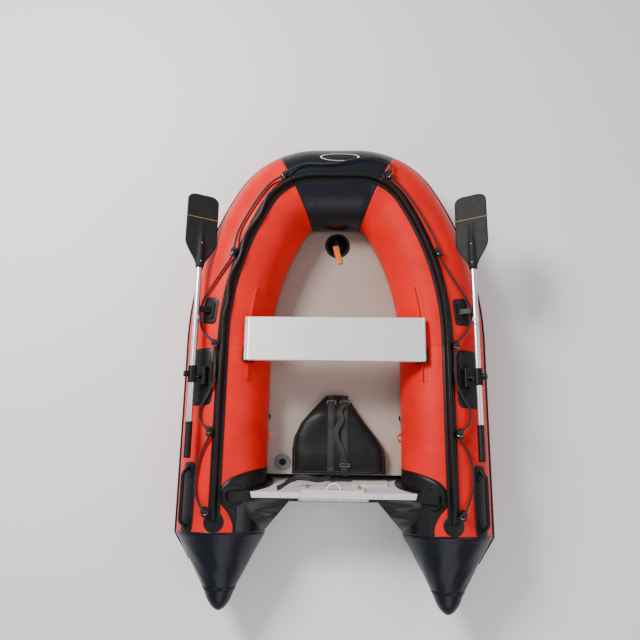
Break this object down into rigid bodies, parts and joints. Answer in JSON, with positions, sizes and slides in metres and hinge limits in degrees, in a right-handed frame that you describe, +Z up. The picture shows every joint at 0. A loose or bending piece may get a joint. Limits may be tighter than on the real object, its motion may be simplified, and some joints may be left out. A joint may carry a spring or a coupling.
{
  "type": "inflatable dinghy",
  "caption": "Soft tender with fabric air tubes, air deck, raked transom with motor pads, sliding bench, folding rowlocks, oars, grab lines and gear bag",
  "frame": {"origin": "middle of the boat's footprint, on the surface the tubes rest on", "axes": "X to starboard, Y to the bow, Z up"},
  "size_m": [1.524, 2.3112, 0.536],
  "materials": {
    "hull_red": "satin coated fabric",
    "bow_dark": "satin coated fabric",
    "cone_black": "gloss coated fabric",
    "trim_black": "satin coated fabric",
    "trim_rubber": "matt rubber",
    "floor_grey": "fine diamond texture",
    "inner_fabric": "plain",
    "moulded_black": "satin moulded",
    "valve_grey": "satin moulded",
    "tab_orange": "webbing",
    "transom_wood": "light laminate",
    "pad_light": "satin",
    "clamp_light": "satin paint",
    "steel": "polished",
    "oar_alu": "anodised",
    "seat_alu": "fine ribs",
    "blade_black": "moulded",
    "rope_black": "braided cord",
    "bag_black": "woven",
    "loop_red": "webbing"
  },
  "bodies": {
    "hull": {"air_deck": "floor_grey", "bag_straps": "trim_black", "bow_fin": "trim_rubber", "bow_lifeline": "rope_black", "bow_tube": "bow_dark", "carry_handles": "trim_rubber", "clamp_plate": "clamp_light", "cone_tips": "trim_rubber", "d_rings": "steel", "deck_valve_body": "valve_grey", "drain_socket": "moulded_black", "gear_bag": "bag_black", "hull_bottom": "trim_black", "inner_motor_pad": "pad_light", "keel_pull_tab": "tab_orange", "keel_tube": "trim_black", "keel_well_ring": "trim_rubber", "lashing_loops": "loop_red", "oar_clips": "moulded_black", "outer_motor_pad": "pad_light", "patches": "trim_black", "port_bow_quarter": "hull_red", "port_bow_shoulder": "hull_red", "port_lifeline": "rope_black", "port_side_tube": "hull_red", "port_stern_cone": "cone_black", "port_top_fin": "trim_rubber", "ring_patches": "trim_black", "rowlock_bases": "moulded_black", "rub_strake": "trim_rubber", "seat_tracks": "hull_red", "starboard_bow_quarter": "hull_red", "starboard_bow_shoulder": "hull_red", "starboard_lifeline": "rope_black", "starboard_side_tube": "hull_red", "starboard_stern_cone": "cone_black", "starboard_top_fin": "trim_rubber", "transom_board": "transom_wood", "transom_bolts": "steel", "transom_holders": "trim_rubber", "transom_webs": "trim_black", "tube_baffles": "inner_fabric", "tube_valve_bodies": "valve_grey"},
    "port_tee": {"port_rowlock_tee": "moulded_black"},
    "starboard_tee": {"starboard_rowlock_tee": "moulded_black"},
    "seat": {"seat_plank": "seat_alu", "seat_shoes": "moulded_black"},
    "port_cap": {"port_valve_cap": "valve_grey"},
    "starboard_cap": {"starboard_valve_cap": "valve_grey"},
    "deck_cap": {"deck_valve_cap": "valve_grey"},
    "keel_cap": {"keel_valve_cap": "valve_grey"},
    "plug": {"drain_plug": "moulded_black"},
    "port_oar": {"port_oar_shaft": "oar_alu", "port_oar_collar": "moulded_black", "port_oar_blade": "blade_black", "port_oar_grip": "trim_rubber"},
    "starboard_oar": {"starboard_oar_shaft": "oar_alu", "starboard_oar_collar": "moulded_black", "starboard_oar_blade": "blade_black", "starboard_oar_grip": "trim_rubber"}
  },
  "joints": [
    {"name": "port_rowlock_swing", "type": "hinge", "parent": "hull", "child": "port_tee", "pos_m": [-0.62008, -0.093, 0.43083], "axis": [0, 1, 0], "range_deg": [0, 60]},
    {"name": "port_oar_sweep", "type": "hinge", "parent": "port_tee", "child": "port_oar", "pos_m": [-0.6703, -0.093, 0.45983], "axis": [-0.866, 0, 0.5], "range_deg": [0, 150]},
    {"name": "starboard_rowlock_swing", "type": "hinge", "parent": "hull", "child": "starboard_tee", "pos_m": [0.62008, -0.093, 0.43083], "axis": [0, -1, 0], "range_deg": [0, 60]},
    {"name": "starboard_oar_sweep", "type": "hinge", "parent": "starboard_tee", "child": "starboard_oar", "pos_m": [0.6703, -0.093, 0.45983], "axis": [-0.866, 0, -0.5], "range_deg": [0, 150]},
    {"name": "seat_slide", "type": "slide", "parent": "hull", "child": "seat", "axis": [0, 1, 0], "range_m": [-0.1, 0]},
    {"name": "port_valve_turn", "type": "hinge", "parent": "hull", "child": "port_cap", "pos_m": [-0.32983, -0.262, 0.21733], "axis": [0.9994, 0, 0.0349], "range_deg": [0, 90]},
    {"name": "starboard_valve_turn", "type": "hinge", "parent": "hull", "child": "starboard_cap", "pos_m": [0.32983, -0.262, 0.21733], "axis": [-0.9994, 0, 0.0349], "range_deg": [0, 90]},
    {"name": "deck_valve_turn", "type": "hinge", "parent": "hull", "child": "deck_cap", "pos_m": [-0.26, -0.478, 0.12], "axis": [0, 0, 1], "range_deg": [0, 90]},
    {"name": "keel_valve_turn", "type": "hinge", "parent": "hull", "child": "keel_cap", "pos_m": [0.008, 0.66976, 0.10837], "axis": [0, -0.0924, 0.9957], "range_deg": [0, 90]},
    {"name": "drain_plug_turn", "type": "hinge", "parent": "hull", "child": "plug", "pos_m": [-0.215, -0.5663, 0.14776], "axis": [0, 0.9781, 0.2079], "range_deg": [0, 90]}
  ]
}
